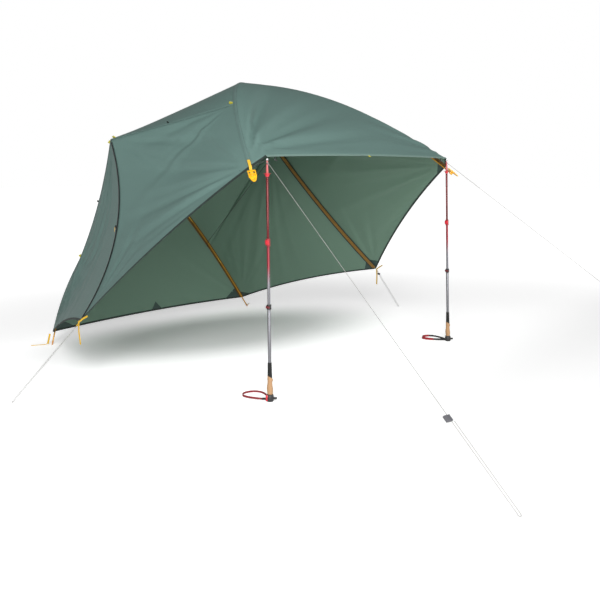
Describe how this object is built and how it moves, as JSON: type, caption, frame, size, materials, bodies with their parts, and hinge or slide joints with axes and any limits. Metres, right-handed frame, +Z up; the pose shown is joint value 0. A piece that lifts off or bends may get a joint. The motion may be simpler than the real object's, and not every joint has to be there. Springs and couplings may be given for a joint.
{
  "type": "tent",
  "caption": "Light tent pitched as an open shelter: the fly hangs on a hubbed pole frame and its front hem stands on two telescoping trekking poles.",
  "frame": {"origin": "on the ground at the middle of the pitched tent without its guylines", "axes": "+X along the front hem, +Y from the lifted front hem to the rear feet, +Z up"},
  "size_m": [3.321, 3.3971, 1.5944],
  "materials": {
    "fly_cloth": "thin coated ripstop cloth, satin",
    "zip_tape": "woven gold tape with a dark chain",
    "slider": "black enamelled slider with a yellow pull",
    "pole_gold": "gold anodised",
    "black_plastic": "moulded, fine grain",
    "foot_orange": "moulded",
    "yellow_webbing": "woven webbing",
    "yellow_plastic": "moulded",
    "guy_cord": "braided, off-white",
    "tie_cord": "braided, black",
    "tensioner": "moulded",
    "trek_tip": "moulded ferrule, pale red",
    "trek_red": "moulded, bright red",
    "trek_shaft_red": "red lacquered",
    "trek_shaft_fade": "lacquer fading from red to grey",
    "trek_shaft_grey": "grey anodised",
    "trek_black": "moulded",
    "trek_lever": "moulded, dark red",
    "foam": "closed-cell foam",
    "cork": "pressed cork",
    "head_red": "soft moulded, dark red",
    "head_black": "soft moulded, black",
    "trek_strap": "padded webbing, red and black"
  },
  "bodies": {
    "root": {"cord_lock_right": "black_plastic", "fly_front": "fly_cloth", "fly_rear": "fly_cloth", "fly_roof": "fly_cloth", "foot_left": "foot_orange", "foot_right": "foot_orange", "guyline_front_left": "guy_cord", "guyline_front_right": "guy_cord", "guyline_side_left": "guy_cord", "guyline_side_right": "guy_cord", "hub_front": "black_plastic", "hub_rear": "black_plastic", "leg_front_left": "pole_gold", "leg_front_right": "pole_gold", "leg_rear_left": "pole_gold", "leg_rear_right": "pole_gold", "ridge_clip": "black_plastic", "ridge_pole": "pole_gold", "spine_pole": "pole_gold", "strap_front_left": "yellow_webbing", "strap_front_right": "yellow_webbing", "strap_rear_left": "yellow_webbing", "strap_rear_right": "yellow_webbing", "strap_wing_left": "yellow_webbing", "strap_wing_right": "yellow_webbing", "tie_cord": "tie_cord", "trek_left_basket": "trek_red", "trek_left_shaft_lower": "trek_shaft_red", "trek_left_tip": "trek_tip", "trek_right_basket": "trek_red", "trek_right_shaft_lower": "trek_shaft_red", "trek_right_tip": "trek_tip", "zip_left": "zip_tape", "zip_right": "zip_tape"},
    "pole_left_middle": {"trek_left_shaft_middle": "trek_shaft_fade", "trek_left_lock_lower": "trek_red"},
    "pole_left_upper": {"trek_left_shaft_upper": "trek_shaft_grey", "trek_left_lock_upper": "trek_black", "trek_left_foam": "foam", "trek_left_cork": "cork", "trek_left_head": "head_red", "trek_left_strap": "trek_strap"},
    "lever_left_lower": {"trek_left_lever_lower": "trek_red"},
    "lever_left_upper": {"trek_left_lever_upper": "trek_lever"},
    "zip_slider_left": {"zip_slider_left": "slider"},
    "buckle_left": {"buckle_front_left": "yellow_plastic"},
    "tensioner_left": {"tensioner_left": "tensioner"},
    "pole_right_middle": {"trek_right_shaft_middle": "trek_shaft_fade", "trek_right_lock_lower": "trek_red"},
    "pole_right_upper": {"trek_right_shaft_upper": "trek_shaft_grey", "trek_right_lock_upper": "trek_black", "trek_right_foam": "foam", "trek_right_cork": "cork", "trek_right_head": "head_black", "trek_right_strap": "trek_strap"},
    "lever_right_lower": {"trek_right_lever_lower": "trek_red"},
    "lever_right_upper": {"trek_right_lever_upper": "trek_lever"},
    "zip_slider_right": {"zip_slider_right": "slider"},
    "buckle_right": {"buckle_front_right": "yellow_plastic"},
    "tensioner_right": {"tensioner_right": "tensioner"}
  },
  "joints": [
    {"name": "pole_left_middle_slide", "type": "slide", "parent": "root", "child": "pole_left_middle", "axis": [0.0253, 0.0314, 0.9992], "range_m": [-0.11, 0.26]},
    {"name": "pole_left_upper_slide", "type": "slide", "parent": "pole_left_middle", "child": "pole_left_upper", "axis": [0.0253, 0.0314, 0.9992], "range_m": [-0.11, 0.245]},
    {"name": "lever_left_lower_hinge", "type": "hinge", "parent": "pole_left_middle", "child": "lever_left_lower", "pos_m": [-0.83281, -0.94185, 0.7599], "axis": [-0.0253, -0.0314, -0.9992], "range_deg": [-120, 0]},
    {"name": "lever_left_upper_hinge", "type": "hinge", "parent": "pole_left_upper", "child": "lever_left_upper", "pos_m": [-0.84141, -0.9522, 0.45569], "axis": [-0.0253, -0.0314, -0.9992], "range_deg": [-120, 0]},
    {"name": "zip_left_travel", "type": "hinge", "parent": "root", "child": "zip_slider_left", "pos_m": [-2.22799, 1.09071, 1.09478], "axis": [-0.3722, -0.6966, 0.6134], "range_deg": [-17.6, 17.6]},
    {"name": "buckle_left_draw", "type": "slide", "parent": "root", "child": "buckle_left", "axis": [-0.4184, -0.6666, -0.6169], "range_m": [0, 0.014]},
    {"name": "tensioner_left_slide", "type": "slide", "parent": "root", "child": "tensioner_left", "axis": [0.218, 0.7768, 0.5908], "range_m": [0, 0.4]},
    {"name": "pole_right_middle_slide", "type": "slide", "parent": "root", "child": "pole_right_middle", "axis": [-0.0253, 0.0314, 0.9992], "range_m": [-0.11, 0.26]},
    {"name": "pole_right_upper_slide", "type": "slide", "parent": "pole_right_middle", "child": "pole_right_upper", "axis": [-0.0253, 0.0314, 0.9992], "range_m": [-0.11, 0.245]},
    {"name": "lever_right_lower_hinge", "type": "hinge", "parent": "pole_right_middle", "child": "lever_right_lower", "pos_m": [0.81075, -0.94186, 0.75934], "axis": [0.0253, -0.0314, -0.9992], "range_deg": [-120, 0]},
    {"name": "lever_right_upper_hinge", "type": "hinge", "parent": "pole_right_upper", "child": "lever_right_upper", "pos_m": [0.81755, -0.95221, 0.45509], "axis": [0.0253, -0.0314, -0.9992], "range_deg": [-120, 0]},
    {"name": "zip_right_travel", "type": "hinge", "parent": "root", "child": "zip_slider_right", "pos_m": [2.22799, 1.09071, 1.09478], "axis": [-0.3722, 0.6966, -0.6134], "range_deg": [-17.6, 17.6]},
    {"name": "buckle_right_draw", "type": "slide", "parent": "root", "child": "buckle_right", "axis": [0.4184, -0.6666, -0.6169], "range_m": [0, 0.014]},
    {"name": "tensioner_right_slide", "type": "slide", "parent": "root", "child": "tensioner_right", "axis": [-0.2078, 0.7796, 0.5908], "range_m": [0, 0.4]}
  ]
}
